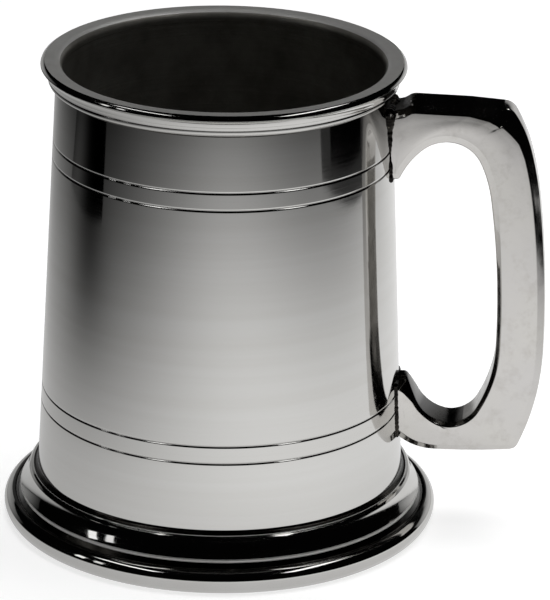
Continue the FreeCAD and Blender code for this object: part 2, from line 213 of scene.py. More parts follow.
PEWTER = (0.64, 0.635, 0.62)
PEWTER_DARK = (0.53, 0.515, 0.485)
POLISHED = (0.575, 0.57, 0.555)
POLISHED_DARK = (0.49, 0.475, 0.45)
INSIDE = (0.42, 0.41, 0.385)
INSIDE_LIGHT = (0.34, 0.33, 0.30)
INSIDE_DARK = (0.20, 0.19, 0.17)
SATIN = (0.62, 0.615, 0.60)
SATIN_LIGHT = (0.66, 0.655, 0.64)
SATIN_DARK = (0.5, 0.49, 0.465)
CAST_WARM = (0.615, 0.60, 0.575)
CAST_COOL = (0.60, 0.585, 0.575)
CAST_DARK = (0.47, 0.45, 0.42)
# painted shade: darker greys for the handle's inner face, toning down what it mirrors
INNER_SHADE = (0.30, 0.29, 0.275)
INNER_SHADE_LIGHT = (0.31, 0.30, 0.285)
INNER_SHADE_DARK = (0.22, 0.21, 0.195)
SOLDER = (0.2, 0.19, 0.17)
SOLDER_BLACK = (0.008, 0.007, 0.006)
SOLDER_BROWN = (0.035, 0.031, 0.026)
SOLDER_GRAIN = (0.26, 0.235, 0.19)
# painted shade: near-black colours that stand in for the dark room mirrored by recesses and ledges
PAINTED_SHADE = (0.05, 0.047, 0.042)
PAINTED_SHADE_DEEP = (0.018, 0.017, 0.015)
PAINTED_SHADE_LIGHT = (0.10, 0.095, 0.085)


class Nodes:
    """One metal's node tree; its plain colour and roughness serve where no pattern reaches."""

    def __init__(self, name, metal, color, roughness):
        self.material = bpy.data.materials.new(name)
        self.material.use_nodes = True
        self.tree = self.material.node_tree
        self.shader = self.tree.nodes["Principled BSDF"]
        self.shader.inputs["Metallic"].default_value = metal
        self.shader.inputs["Base Color"].default_value = (*color, 1)
        self.shader.inputs["Roughness"].default_value = roughness
        self.place = self.add("ShaderNodeTexCoord").outputs["Object"]

    def add(self, kind, **values):
        node = self.tree.nodes.new(kind)
        for name, value in values.items():
            setattr(node, name, value)
        return node

    def link(self, source, target):
        self.tree.links.new(source, target)

    def set(self, name, source):
        """Drive one of the shader's inputs."""
        self.link(source, self.shader.inputs[name])

    def noise(self, scale, detail, rough, vector=None):
        """Cloudy noise through the whole piece."""
        texture = self.add("ShaderNodeTexNoise")
        texture.inputs["Scale"].default_value = scale
        texture.inputs["Detail"].default_value = detail
        texture.inputs["Roughness"].default_value = rough
        self.link(vector or self.place, texture.inputs["Vector"])
        return texture.outputs["Fac"]

    def strokes(self, around, up, detail, rough):
        """Noise drawn out round the Z axis, with its scale sideways and its scale upwards."""
        mapping = self.add("ShaderNodeMapping")
        mapping.inputs["Scale"].default_value = (around, around, up)
        self.link(self.place, mapping.inputs["Vector"])
        return self.noise(1.0, detail, rough, mapping.outputs["Vector"])

    def spread(self, source, within, onto):
        """Map one range of values onto another, clamped."""
        node = self.add("ShaderNodeMapRange")
        for name, value in zip(("From Min", "From Max", "To Min", "To Max"), (*within, *onto)):
            node.inputs[name].default_value = value
        self.link(source, node.inputs["Value"])
        return node.outputs["Result"]

    def total(self, first, second):
        node = self.add("ShaderNodeMath", operation="ADD")
        self.link(first, node.inputs[0])
        self.link(second, node.inputs[1])
        return node.outputs["Value"]

    def mix(self, factor, first, second):
        """Mix two colours, each given as a tuple or a socket."""
        node = self.add("ShaderNodeMix", data_type="RGBA")
        self.link(factor, node.inputs["Factor"])
        for name, value in (("A", first), ("B", second)):
            socket = [s for s in node.inputs if s.name == name and s.type == "RGBA"][0]
            if isinstance(value, tuple):
                socket.default_value = (*value, 1)
            else:
                self.link(value, socket)
        return [s for s in node.outputs if s.type == "RGBA"][0]

    def bump(self, height, distance, strength, under=None):
        node = self.add("ShaderNodeBump")
        node.inputs["Distance"].default_value = distance
        node.inputs["Strength"].default_value = strength
        self.link(height, node.inputs["Height"])
        if under is not None:
            self.link(under, node.inputs["Normal"])
        return node.outputs["Normal"]


def brushed_pewter():
    """Polished barrel: fine strokes round the axis, and a faint cloudy haze."""
    n = Nodes("brushed_pewter", metal=1.0, color=PEWTER, roughness=0.08)
    fine = n.strokes(around=2.0, up=1800.0, detail=4.0, rough=0.6)
    broad = n.strokes(around=6.0, up=260.0, detail=3.0, rough=0.5)
    cloud = n.noise(scale=45.0, detail=4.0, rough=0.6)
    n.set("Roughness", n.total(n.spread(fine, within=(0.3, 0.7), onto=(0.035, 0.085)),
                               n.spread(cloud, within=(0.3, 0.7), onto=(-0.01, 0.02))))
    tint = n.spread(broad, within=(0.35, 0.8), onto=(0.0, 0.35))
    n.set("Base Color", n.mix(tint, PEWTER, PEWTER_DARK))
    n.set("Normal", n.bump(fine, distance=0.000004, strength=0.2))
    n.shader.inputs["Anisotropic"].default_value = 0.35
    n.shader.inputs["Anisotropic Rotation"].default_value = 0.25
    tangent = n.add("ShaderNodeTangent", direction_type="RADIAL", axis="Z")
    n.set("Tangent", tangent.outputs["Tangent"])
    return n.material


def inside_pewter():
    """Unpolished inside of the barrel: turning marks round the axis, and a dull tarnish."""
    n = Nodes("inside_pewter", metal=0.75, color=INSIDE, roughness=0.4)
    marks = n.strokes(around=3.0, up=900.0, detail=5.0, rough=0.65)
    cloud = n.noise(scale=70.0, detail=4.0, rough=0.6)
    n.set("Roughness", n.spread(marks, within=(0.3, 0.7), onto=(0.3, 0.55)))
    tint = n.spread(cloud, within=(0.35, 0.7), onto=(0.0, 1.0))
    n.set("Base Color", n.mix(tint, INSIDE_LIGHT, INSIDE_DARK))
    n.set("Normal", n.bump(marks, distance=0.0001, strength=0.9))
    return n.material


def satin_pewter():
    """Flat top of the rim: rubbed to a soft satin by use, with cloudy wear."""
    n = Nodes("satin_pewter", metal=0.7, color=SATIN, roughness=0.42)
    cloud = n.noise(scale=90.0, detail=4.0, rough=0.6)
    fine = n.noise(scale=1400.0, detail=3.0, rough=0.6)
    n.set("Roughness", n.total(n.spread(cloud, within=(0.3, 0.7), onto=(0.34, 0.5)),
                               n.spread(fine, within=(0.3, 0.7), onto=(-0.04, 0.04))))
    tint = n.spread(cloud, within=(0.35, 0.75), onto=(0.0, 0.6))
    n.set("Base Color", n.mix(tint, SATIN_LIGHT, SATIN_DARK))
    n.set("Normal", n.bump(fine, distance=0.00001, strength=0.5))
    return n.material


def polished_pewter():
    """Mirror-polished mouldings, with hairlines and a little haze."""
    n = Nodes("polished_pewter", metal=1.0, color=POLISHED, roughness=0.07)
    hairlines = n.strokes(around=3.0, up=1500.0, detail=3.0, rough=0.6)
    haze = n.noise(scale=60.0, detail=4.0, rough=0.6)
    n.set("Roughness", n.total(n.spread(hairlines, within=(0.35, 0.7), onto=(0.03, 0.08)),
                               n.spread(haze, within=(0.4, 0.75), onto=(0.0, 0.06))))
    tint = n.spread(haze, within=(0.4, 0.8), onto=(0.0, 0.35))
    n.set("Base Color", n.mix(tint, POLISHED, POLISHED_DARK))
    n.set("Normal", n.bump(haze, distance=0.00006, strength=0.5))
    return n.material


def cast_pewter():
    """Hand-polished casting: mottled, with small pits and a trace of tarnish."""
    n = Nodes("cast_pewter", metal=1.0, color=PEWTER, roughness=0.12)
    mottle = n.noise(scale=230.0, detail=5.0, rough=0.65)
    wave = n.noise(scale=55.0, detail=3.0, rough=0.5)
    n.set("Roughness", n.total(n.spread(mottle, within=(0.35, 0.7), onto=(0.06, 0.16)),
                               n.spread(wave, within=(0.4, 0.7), onto=(0.0, 0.05))))
    clean = n.mix(n.spread(wave, within=(0.35, 0.7), onto=(0.0, 1.0)), CAST_WARM, CAST_COOL)
    tint = n.spread(mottle, within=(0.5, 0.75), onto=(0.0, 0.45))
    n.set("Base Color", n.mix(tint, clean, CAST_DARK))
    low = n.bump(wave, distance=0.00012, strength=0.5)
    n.set("Normal", n.bump(mottle, distance=0.00002, strength=0.5, under=low))
    return n.material


def inner_shade_pewter():
    """Inner face of the handle: painted shade makes it greyer than the rest, with a softer finish."""
    n = Nodes("inner_shade_pewter", metal=1.0, color=INNER_SHADE, roughness=0.2)
    mottle = n.noise(scale=180.0, detail=5.0, rough=0.6)
    tint = n.spread(mottle, within=(0.4, 0.75), onto=(0.0, 1.0))
    n.set("Base Color", n.mix(tint, INNER_SHADE_LIGHT, INNER_SHADE_DARK))
    n.set("Roughness", n.spread(mottle, within=(0.35, 0.7), onto=(0.12, 0.26)))
    n.set("Normal", n.bump(mottle, distance=0.00002, strength=0.5))
    return n.material


def solder_metal():
    """Dull tarnished solder: brown-black, with a few bright grains."""
    n = Nodes("solder", metal=0.9, color=SOLDER, roughness=0.4)
    grain = n.noise(scale=900.0, detail=5.0, rough=0.65)
    patch = n.noise(scale=260.0, detail=3.0, rough=0.5)
    dark = n.mix(n.spread(patch, within=(0.4, 0.65), onto=(0.0, 1.0)), SOLDER_BLACK, SOLDER_BROWN)
    tint = n.spread(grain, within=(0.6, 0.75), onto=(0.0, 1.0))
    n.set("Base Color", n.mix(tint, dark, SOLDER_GRAIN))
    n.set("Roughness", n.spread(grain, within=(0.35, 0.7), onto=(0.22, 0.5)))
    n.set("Normal", n.bump(grain, distance=0.00008, strength=0.7))
    return n.material


def painted_shade_pewter():
    """Painted shade for corners and ledges that mirror the dark room: brown-black, lighter in patches."""
    n = Nodes("painted_shade_pewter", metal=1.0, color=PAINTED_SHADE, roughness=0.25)
    patches = n.noise(scale=150.0, detail=5.0, rough=0.6)
    grain = n.noise(scale=1100.0, detail=3.0, rough=0.6)
    tint = n.spread(patches, within=(0.45, 0.75), onto=(0.0, 1.0))
    n.set("Base Color", n.mix(tint, PAINTED_SHADE_DEEP, PAINTED_SHADE_LIGHT))
    n.set("Roughness", n.spread(patches, within=(0.35, 0.7), onto=(0.14, 0.3)))
    n.set("Normal", n.bump(grain, distance=0.00001, strength=0.5))
    return n.material


# ------------------------------------------------------------------ turned pieces

ENGRAVED_HEIGHTS = (31.1, 35.5, 95.4, 99.8)
LINE_HALF_WIDTH = 0.25
LINE_DEPTH = 0.19
LINE_STEPS = 12
LINE_POWER = 0.6
LINE_MARGIN = 0.5

LIP_BOTTOM = 114.4
LIP_LAP = 0.3
LIP_SEAT = BARREL_TOP - 0.01
LIP_MOUTH_ROUND = 2.1
LIP_SATIN_DEPTH = 0.6
LEVEL = 0.99
INWARD = -0.01

FOOT_LEDGE_LOW = 5.9
FOOT_LEDGE_HIGH = 7.15
FOOT_LEDGE_INNER = 50.4
FOOT_RIDGE_HIGH = 8.05
FOOT_RIDGE_INNER = 50.35
FOOT_SEAM_HEIGHT = 12.95

FLOOR_HOLE = 0.02
FLOOR_STEPS = 40


def outwardness(centre, normal):
    """Above zero for a face that looks away from the Z axis, below zero for one that faces it."""
    return normal.x * centre.x + normal.y * centre.y


def engraved_groove(height):
    """The barrel's outer face across one engraved line, going up."""
    points = []
    for step in range(LINE_STEPS + 1):
        across = -1 + 2 * step / LINE_STEPS
        depth = LINE_DEPTH * (0.5 + 0.5 * math.cos(math.pi * across)) ** LINE_POWER
        points.append(on_barrel(height + across * LINE_HALF_WIDTH, depth))
    return points


def make_barrel(material, inside):
    """Tapered shell, open at both ends, with its engraved lines."""
    outline = [on_barrel(BARREL_BOTTOM)]
    for height in ENGRAVED_HEIGHTS:
        outline.append(on_barrel(height - LINE_MARGIN))
        outline.extend(engraved_groove(height))
        outline.append(on_barrel(height + LINE_MARGIN))
    outline.append(on_barrel(BARREL_TOP))
    outline.append(on_barrel(BARREL_TOP, BARREL_WALL))
    outline.append(on_barrel(BARREL_BOTTOM, BARREL_WALL))
    outline = add_supports(outline, gap=0.4, long_edge=8.0)
    shell = turned("barrel_shell", outline, material, "barrel")
    paint(shell, inside, lambda centre, normal: outwardness(centre, normal) < 0)


def make_lip(material, satin, inside):
    """Moulded mouth ring: bead, cove and rounded edge, with a flat top."""
    outline = trace([
        on_barrel(LIP_BOTTOM, LIP_LAP),
        (42.5, LIP_BOTTOM, 1.1, "left"),
        (43.3, 115.4),
        (43.3, 115.72),
        (43.12, 115.82),
        (43.3, 115.92, 3.9, "right"),
        (43.6, 116.75),
        (43.72, 116.8, 3.4, "right"),
        (LIP_RADIUS, 118.8),
        (LIP_RADIUS, 118.85, 1.25, "left"),
        (44.25, HEIGHT - 0.03),
        (44.15, HEIGHT),
        (BARREL_INNER_TOP + LIP_MOUTH_ROUND, HEIGHT, LIP_MOUTH_ROUND, "left"),
        (BARREL_INNER_TOP, HEIGHT - LIP_MOUTH_ROUND),
        (BARREL_INNER_TOP, LIP_SEAT),
        (barrel_radius(BARREL_TOP) - LIP_LAP, LIP_SEAT),
    ])
    outline = add_supports(soften(outline, 0.1))
    lip = turned("lip_moulding", outline, material, "lip_ring")
    satin_low = HEIGHT - LIP_SATIN_DEPTH
    paint(lip, satin, lambda centre, normal: centre.z > satin_low and (
        normal.z > LEVEL or outwardness(centre, normal) < INWARD))
    paint(lip, inside, lambda centre, normal: centre.z <= satin_low
          and outwardness(centre, normal) < INWARD)


def make_foot(material, satin, dark):
    """Hollow spun foot: rounded moulding, ledge, ridge, cove and collar."""
    outline = trace([
        (51.3, 0),
        (52.7, 0, 4.0, "left"),
        (FOOT_RADIUS, 3.45, 2.5, "left"),
        (51.6, 5.87),
        (51.35, 5.95),
        (50.6, 7.2, 0.75, "left"),
        (50.45, 8.0, 9.5, "right"),
        (48.35, 12.1),
        (47.9, 12.6),
        (47.35, 12.72),
        (47.3, 12.8, 0.25, "left"),
        (47.0, 13.1),
        (46.75, 13.1, 1.1, "right"),
        on_barrel(14.1, 0.02),
        on_barrel(12.7, 0.2),
        (46.95, 11.55, 10.9, "left"),
        (49.1, 7.2),
        (49.1, 6.5),
        (51.1, 4.47),
        (53.3, 3.45),
    ])
    outline = add_supports(soften(outline, 0.12))
    foot = turned("foot_moulding", outline, material, "foot_ring")

    # Painted shade: the ledge under the ridge takes the near-black metal in place of the dark room it
    # mirrors; so does the collar's band by the barrel, where the seam runs.
    def in_seam_and_ledge_shade(centre, normal):
        on_ledge = FOOT_LEDGE_LOW < centre.z <= FOOT_LEDGE_HIGH and centre.xy.length > FOOT_LEDGE_INNER
        return on_ledge or centre.z > FOOT_SEAM_HEIGHT

    def is_ridge(centre, normal):
        return FOOT_LEDGE_HIGH < centre.z < FOOT_RIDGE_HIGH and centre.xy.length > FOOT_RIDGE_INNER

    paint(foot, dark, in_seam_and_ledge_shade)
    paint(foot, satin, is_ridge)


def make_floor_disc(material):
    """Plate that closes the barrel, ringed so that it shades evenly."""
    edge = barrel_radius(FLOOR_TOP) - BARREL_WALL
    outline = [(FLOOR_HOLE, FLOOR_UNDER), (edge, FLOOR_UNDER)]
    outline += [(edge * (1 - step / FLOOR_STEPS), FLOOR_TOP) for step in range(FLOOR_STEPS)]
    outline.append((FLOOR_HOLE, FLOOR_TOP))
    turned("floor_plate", outline, material, "floor_disc")


# ------------------------------------------------------------------ handle

HANDLE_OUTSIDE = [
    (41.2, 109.75),
    (44.9, 110.5, 3.0, "right"),
    (46.7, 111.7),
    (69.35, 111.3, 3.44, "right"),
    (72.18, 109.7, 35.4, "right"),
    (76.42, 100.1, 87.6, "right"),
    (78.8, 88.2, 274.1, "right"),
    (81.0, 48.0, 65.8, "right"),
    (75.38, 22.6, 1.94, "right"),
    (73.8, 21.45, 168.0, "right"),
    (54.0, 20.6, 14.0, "right"),
    (45.2, 23.89),
    (44.2, 24.6),
]
HANDLE_INSIDE = [
    (41.3, 92.4),
    (44.1, 92.4, 20.3, "right"),
    (49.7, 100.15, 9.45, "right"),
    (55.3, 102.4, 8.89, "right"),
    (63.83, 97.35, 32.6, "right"),
    (66.67, 88.0, 235.6, "right"),
    (69.05, 48.8, 36.2, "right"),
    (64.81, 32.6, 7.93, "right"),
    (57.7, 28.1, 10.0, "right"),
    (49.78, 33.6),
    (47.0, 39.2),
    (44.0, 39.2),
]
OUTLINE_STEPS = 24
HANDLE_STATIONS = 320
OUTLINE_ROUNDS = 3
NORMAL_ROUNDS = 150

# Each table below goes by the share of the way along the outside, from the upper root to the
# lower one. It pairs a share with the share of the way along the inside, the depth of a
# bevel's shoulder below its face, or the half width of a face between its bevels.
HANDLE_PAIRS = [(0.0, 0.0), (0.165, 0.165), (0.30, 0.285), (0.36, 0.36), (0.62, 0.66),
                (0.78, 0.78), (1.0, 1.0)]
INNER_SHOULDERS = [(0.0, 1.5), (0.10, 2.0), (0.30, 1.9), (0.45, 1.3), (0.65, 1.2), (0.78, 0.8),
                   (0.90, 0.6), (0.93, 0.8), (0.955, 1.8), (0.973, 3.2), (1.0, 3.2)]
INNER_FACES = [(0.0, 5.9), (0.30, 5.9), (0.36, 5.6), (0.45, 4.9), (0.65, 4.9), (0.90, 4.9),
               (0.93, 4.4), (0.955, 3.0), (0.973, 1.6), (1.0, 1.6)]
OUTER_SHOULDERS = [(0.0, 1.8), (0.13, 1.8), (0.165, 2.9), (0.192, 4.6), (0.215, 3.7), (0.25, 2.1),
                   (0.28, 1.8), (1.0, 1.8)]
OUTER_FACES = [(0.0, 4.9), (0.13, 4.9), (0.18, 3.6), (0.24, 2.7), (0.34, 3.1), (0.5, 4.6),
               (0.7, 4.9), (1.0, 4.9)]

SIDE_HALF = 6.2
SIDE_BULGE = 0.1
SIDE_STEPS = 10
SIDE_MARGIN = 0.08
FACE_STEPS = 5
CROWN = 0.1
ARRIS_ROUND = 0.5
ARRIS_STEPS = 4
ARRIS_DROP = 1.5
BEVEL_SHARES = (0.35, 0.65)

# The places on the handle that get the inner face's painted shade, the saddle's painted shade and the
# solder.
PAINTED_HALF = SIDE_HALF - 0.15
OPENING_BOTTOM = 26.5
INNER_SHADE_REACH = 69.3
INNER_SHADE_TOP = 92.0
INNER_SHADE_NARROW_HEIGHT = 65.0
INNER_SHADE_NARROW_HALF = 4.4
SADDLE_SHADE_REACH = 61.5
SADDLE_SHADE_TOP = 45.0
ROOT_TOP = 109.2
ROOT_SOLDER_REACH = 47.0
ROOT_SOLDER_WAVE = 2.0


def spaced(points, count):
    """The same line with evenly spaced points."""
    path = [Vector(p) for p in points]
    lengths = [0.0]
    for a, b in zip(path, path[1:]):
        lengths.append(lengths[-1] + (b - a).length)
    result = []
    index = 0
    for step in range(count):
        target = lengths[-1] * step / (count - 1)
        while index < len(path) - 2 and lengths[index + 1] < target:
            index += 1
        span = max(lengths[index + 1] - lengths[index], TINY)
        result.append(path[index].lerp(path[index + 1], (target - lengths[index]) / span))
    return result


def smoothed(points, rounds):
    """Relax the inner points of a line."""
    for _ in range(rounds):
        middle = [(a + b * 2 + c) / 4 for a, b, c in zip(points, points[1:], points[2:])]
        points = [points[0]] + middle + [points[-1]]
    return points


def handle_line(corners):
    """One edge of the handle's side view as a smooth line of evenly spaced points."""
    return smoothed(spaced(trace(corners, OUTLINE_STEPS, closed=False), HANDLE_STATIONS), OUTLINE_ROUNDS)


def looked_up(table, share):
    """A table's value at a share, on the straight line between its entries."""
    for (a, low), (b, high) in zip(table, table[1:]):
        if share <= b:
            return low + (high - low) * (share - a) / (b - a)
    return table[-1][1]


def point_and_normal(path, share, outer):
    """A point of the path and the unit direction into the metal there."""
    where = share * (len(path) - 1)
    index = min(int(where), len(path) - 2)
    point = path[index].lerp(path[index + 1], where - index)
    tangent = (path[min(index + 2, len(path) - 1)] - path[max(index - 1, 0)]).normalized()
    right = Vector((tangent.y, -tangent.x))
    return point, right if outer else -right


def bevel(face_half, shoulder):
    """One bevelled corner of the section: (across, depth) from the face's middle to the side."""
    middle = [(face_half * step / FACE_STEPS, CROWN * (step / FACE_STEPS) ** 2)
              for step in range(FACE_STEPS)]
    corner = [middle[-1], (face_half, CROWN), (SIDE_HALF, shoulder),
              (SIDE_HALF, shoulder + ARRIS_DROP)]
    rounded = soften(corner, ARRIS_ROUND, closed=False, steps=ARRIS_STEPS, least=0)
    second_arris = ARRIS_STEPS + 2
    slope = [(face_half + (SIDE_HALF - face_half) * part, CROWN + (shoulder - CROWN) * part)
             for part in BEVEL_SHARES]
    return middle + rounded[1:second_arris] + slope + rounded[second_arris:-1]


def handle_section(outer_shoulder, outer_face, inner_shoulder, inner_face):
    """One ring round the handle, as (across, origin, amount).

    An amount is a depth below the outside or the inside, or on a side face the share of the
    way from the outer shoulder to the inner one.
    """
    half = [(across, "outside", depth) for across, depth in bevel(outer_face, outer_shoulder)]
    for step in range(1, SIDE_STEPS):
        part = step / SIDE_STEPS
        half.append((SIDE_HALF + SIDE_BULGE * math.sin(math.pi * part), "side",
                     SIDE_MARGIN + (1 - 2 * SIDE_MARGIN) * part))
    inner = [(across, "inside", depth) for across, depth in bevel(inner_face, inner_shoulder)]
    half += inner[::-1]
    other = [(-across, origin, amount) for across, origin, amount in half[1:-1]]
    return half + other[::-1]


def handle_ring(share, outside, eased, inside):
    """The points of one section, a share of the way along the handle."""
    outer = point_and_normal(outside, share, True)[0]
    outer_in = point_and_normal(eased, share, True)[1]
    inner, inner_in = point_and_normal(inside, looked_up(HANDLE_PAIRS, share), False)
    outer_shoulder = looked_up(OUTER_SHOULDERS, share)
    inner_shoulder = looked_up(INNER_SHOULDERS, share)
    section = handle_section(outer_shoulder, looked_up(OUTER_FACES, share),
                             inner_shoulder, looked_up(INNER_FACES, share))
    start = outer + outer_in * outer_shoulder
    end = inner + inner_in * inner_shoulder
    ring = []
    for across, origin, amount in section:
        if origin == "outside":
            place = outer + outer_in * amount
        elif origin == "inside":
            place = inner + inner_in * amount
        else:
            place = start.lerp(end, amount)
        ring.append((place.x, across, place.y))
    return ring


# painted shade: the inner face of the handle's opening takes the darker grey metal
def in_inner_shade(centre, normal):
    half = PAINTED_HALF if centre.z < INNER_SHADE_NARROW_HEIGHT else INNER_SHADE_NARROW_HALF
    return centre.x < INNER_SHADE_REACH and OPENING_BOTTOM < centre.z < INNER_SHADE_TOP and abs(centre.y) < half


# painted shade: the saddle at the bottom of the opening takes the near-black metal where it mirrors the
# dark room
def in_saddle_shade(centre, normal):
    return (centre.x < SADDLE_SHADE_REACH and OPENING_BOTTOM < centre.z < SADDLE_SHADE_TOP
            and abs(centre.y) < PAINTED_HALF)


def is_soldered(centre, normal):
    edge = ROOT_SOLDER_REACH + ROOT_SOLDER_WAVE * noise.noise(centre)
    return centre.z > ROOT_TOP and centre.x < edge


def make_handle(material, inner_shade, dark, solder):
    """Cast loop: a bevelled section that changes along the way."""
    outside = handle_line(HANDLE_OUTSIDE)
    inside = handle_line(HANDLE_INSIDE)
    eased = smoothed(outside, NORMAL_ROUNDS)
    rings = [handle_ring(step / (HANDLE_STATIONS - 1), outside, eased, inside)
             for step in range(HANDLE_STATIONS)]
    vertices = [point for ring in rings for point in ring]
    size = len(rings[0])
    faces = ring_faces(HANDLE_STATIONS, size, closed=False)
    faces.append(tuple(range(size))[::-1])
    faces.append(tuple(range(len(vertices) - size, len(vertices))))
    casting = new_object("handle_casting", vertices, faces, material, "handle")
    # The inner face and the saddle get painted shade; the top of the upper root gets solder.
    paint(casting, inner_shade, in_inner_shade)
    paint(casting, dark, in_saddle_shade)
    paint(casting, solder, is_soldered)


# ------------------------------------------------------------------ solder seams

SEAM_STEPS = 220
SEAM_SIDES = 12
SEAM_HALF = SIDE_HALF + 0.05
SEAM_SINK = 0.1
SWELL_RATE = 2.2
SWELL_POWER = 1.5
LUMPS = ((0.4, 0.5), (1.4, 0.25))
ROUGHNESS_OF_BEAD = 0.15
ROUGH_STEP = Vector((2.1, 0.0, 1.7))
ROUGH_UP = 1.3


def seam_route(low, high):
    """Points (across, up) round a root: up one side, over the top and down the other."""
    width = 2 * SEAM_HALF
    height = high - low
    for step in range(SEAM_STEPS):
        along = 2 * (width + height) * step / SEAM_STEPS
        if along < height:
            yield -SEAM_HALF, low + along
        elif along < height + width:
            yield -SEAM_HALF + along - height, high
        elif along < 2 * height + width:
            yield SEAM_HALF, high - (along - height - width)
        else:
            yield SEAM_HALF - (along - 2 * height - width), low


def bead_size(across, up, low, high, bead, top_bead):
    """Radius of the bead: it swells towards the top, and lumps make it uneven."""
    rise = (up - low) / (high - low)
    size = bead + (top_bead - bead) * max(0.0, 1 - SWELL_RATE * (1 - rise)) ** SWELL_POWER
    for (scale, amount), seed in zip(LUMPS, (low, high)):
        size *= 1 + amount * noise.noise(Vector((across * scale, up * scale, seed)))
    return size


def make_seam(name, node, low, high, bead, top_bead, material):
    """Lumpy bead of solder along the joint between the barrel and one root of the handle."""
    vertices = []
    for across, up in seam_route(low, high):
        reach = math.sqrt(barrel_radius(up) ** 2 - across ** 2)
        size = bead_size(across, up, low, high, bead, top_bead)
        outward = Vector((reach, across, 0)).normalized()
        sideways = Vector((0, 0, 1))
        if abs(across) >= SEAM_HALF - 0.01 and low < up < high:
            sideways = Vector((-outward.y, outward.x, 0))
        centre = Vector((reach, across, up)) - outward * SEAM_SINK
        for side in range(SEAM_SIDES):
            angle = math.tau * side / SEAM_SIDES
            spot = Vector((across, up * ROUGH_UP, 0)) + ROUGH_STEP * side
            rough = 1 + ROUGHNESS_OF_BEAD * noise.noise(spot)
            spoke = outward * math.cos(angle) + sideways * math.sin(angle)
            vertices.append(centre + spoke * size * rough)
    faces = ring_faces(SEAM_STEPS, SEAM_SIDES, closed=True)
    new_object(name, vertices, faces, material, node)


# ------------------------------------------------------------------ camera, metres

CAMERA_DISTANCE = 1.02905
CAMERA_HEIGHT = 0.45219
CAMERA_TURN = math.radians(5.0)
CAMERA_PITCH = math.radians(21.023)
CAMERA_ROLL = math.radians(-0.890)
CAMERA_YAW = math.radians(-0.746)
CAMERA_LENS = 263.78
SENSOR_WIDTH = 36.0


def make_camera():
    """Camera in front of the tankard, looking down at it and slightly rolled."""
    data = bpy.data.cameras.new("camera")
    data.lens = CAMERA_LENS
    data.sensor_width = SENSOR_WIDTH
    camera = bpy.data.objects.new("camera", data)
    bpy.context.scene.collection.objects.link(camera)
    heading = CAMERA_YAW + CAMERA_TURN
    forward = Vector((-math.sin(heading) * math.cos(CAMERA_PITCH),
                      math.cos(heading) * math.cos(CAMERA_PITCH), -math.sin(CAMERA_PITCH)))
    right = Vector((math.cos(heading), math.sin(heading), 0))
    down = forward.cross(right)
    level = right * math.cos(CAMERA_ROLL) + down * math.sin(CAMERA_ROLL)
    sunk = down * math.cos(CAMERA_ROLL) - right * math.sin(CAMERA_ROLL)
    camera.matrix_world = Matrix((
        (level.x, -sunk.x, -forward.x, CAMERA_DISTANCE * math.sin(CAMERA_TURN)),
        (level.y, -sunk.y, -forward.y, -CAMERA_DISTANCE * math.cos(CAMERA_TURN)),
        (level.z, -sunk.z, -forward.z, CAMERA_HEIGHT),
        (0, 0, 0, 1)))
    bpy.context.scene.camera = camera


# ------------------------------------------------------------------ studio, metres

BLACK = (0, 0, 0)
WHITE = (1, 1, 1)
ROOM_GREY = 0.001
FLOOR_REACH = 3.0
FLOOR_GREY = (0.8, 0.8, 0.8)
FLOOR_GLOW = 0.85
FLAG_GREY = (0.02, 0.02, 0.02)
BACK_CARD_DEPTH = -0.6
BACK_CARD_HEIGHT = 0.3
BACK_GLOW_HEIGHT = 0.1
BACK_GLOW_FADE = 0.16
TOP_LIGHT_PLACE = Vector((0.15, 0.1, 0.9))
TOP_LIGHT_SIZE = 0.8
TOP_LIGHT_POWER = 6.0


def beside(right, front, up=0.0):
    """A point given by how far it is to the camera's right and towards the camera."""
    c, s = math.cos(CAMERA_TURN), math.sin(CAMERA_TURN)
    return (right * c + front * s, right * s - front * c, up)


def stage_material(name, color, strength=None):
    """Matt colour, with a glow of the same colour if a strength is given."""
    material = bpy.data.materials.new(name)
    material.use_nodes = True
    shader = material.node_tree.nodes["Principled BSDF"]
    shader.inputs["Base Color"].default_value = (*color, 1)
    shader.inputs["Roughness"].default_value = 1.0
    shader.inputs["Specular IOR Level"].default_value = 0.0
    if strength is not None:
        shader.inputs["Emission Color"].default_value = (*color, 1)
        shader.inputs["Emission Strength"].default_value = strength
    return material


def plane(name, corners, material):
    """A flat card of the studio."""
    mesh = bpy.data.meshes.new(name)
    mesh.from_pydata(corners, [], [tuple(range(len(corners)))])
    mesh.materials.append(material)
    card = bpy.data.objects.new(name, mesh)
    bpy.context.scene.collection.objects.link(card)
    return card


def card_in_metal(name, corners, material):
    """A card that shows only in the metal's reflections."""
    card = plane(name, corners, material)
    card.visible_camera = False
    card.visible_diffuse = False
    card.visible_shadow = False
    card.visible_transmission = False
    card.visible_volume_scatter = False


def math_node(tree, operation, *values):
    """A math node whose inputs are numbers or sockets."""
    node = tree.nodes.new("ShaderNodeMath")
    node.operation = operation
    for socket, value in zip(node.inputs, values):
        if isinstance(value, float):
            socket.default_value = value
        else:
            tree.links.new(value, socket)
    return node.outputs["Value"]


